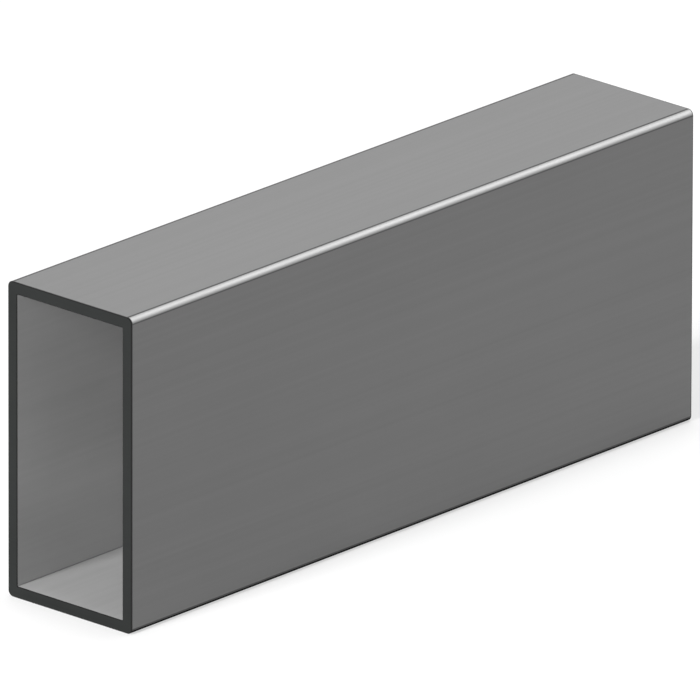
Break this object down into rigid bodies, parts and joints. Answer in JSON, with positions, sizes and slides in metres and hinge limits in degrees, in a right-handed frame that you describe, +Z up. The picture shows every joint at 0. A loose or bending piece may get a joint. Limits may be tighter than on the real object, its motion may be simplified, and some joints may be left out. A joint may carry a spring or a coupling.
{
  "type": "rectangular steel tube",
  "caption": "Straight rectangular hollow steel section with an even wall, small rounded outside corners and square sawn ends, a short length of stock for frames and brackets.",
  "frame": {"origin": "on the ground, under the middle of the tube, at the centre of the face it stands on", "axes": "+X along the tube's length, +Y across its narrow side, +Z up its tall side"},
  "size_m": [0.2, 0.04, 0.08],
  "materials": {
    "steel": "mill-finish grey steel, satin, with darker sawn ends"
  },
  "bodies": {
    "root": {"tube": "steel"}
  },
  "joints": []
}
